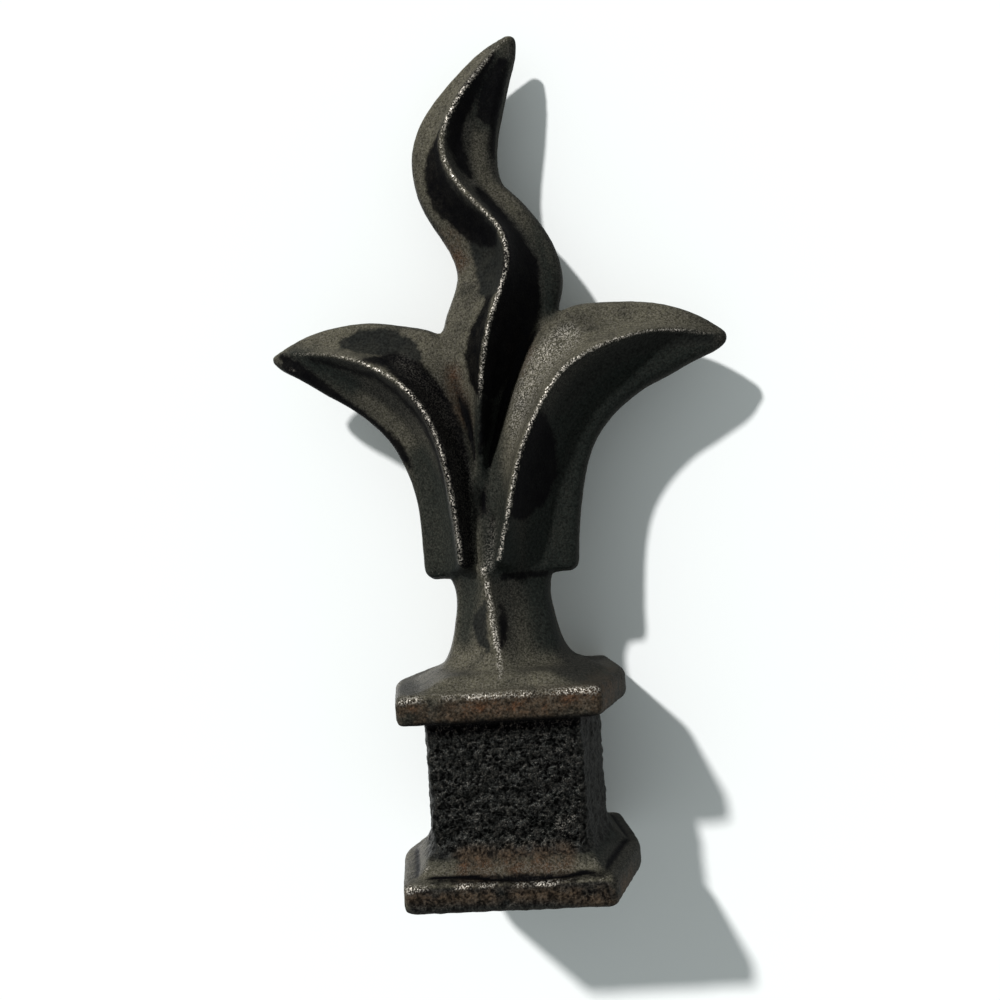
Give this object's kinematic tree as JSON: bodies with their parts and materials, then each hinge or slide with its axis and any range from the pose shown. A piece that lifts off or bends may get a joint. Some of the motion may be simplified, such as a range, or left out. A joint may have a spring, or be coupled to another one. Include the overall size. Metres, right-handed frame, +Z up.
{
  "type": "railing spear finial",
  "caption": "Cast iron railing spear finial: an S-curved flame between two outward-curling leaves on a square socket block with a collar and a foot.",
  "frame": {"origin": "centre of the square socket's mouth, in the flat underside of the foot", "axes": "+Z up from the foot to the flame's tip, +Y to the back, +X to the side of the longer leaf, towards which the tip leans"},
  "size_m": [0.094, 0.046, 0.1714],
  "materials": {
    "cast_iron": "bare sand-cast iron, weathered, with a tan bloom on the rims, blue-black hollows and rubbed bright edges"
  },
  "bodies": {
    "root": {"finial_casting": "cast_iron"}
  },
  "joints": []
}
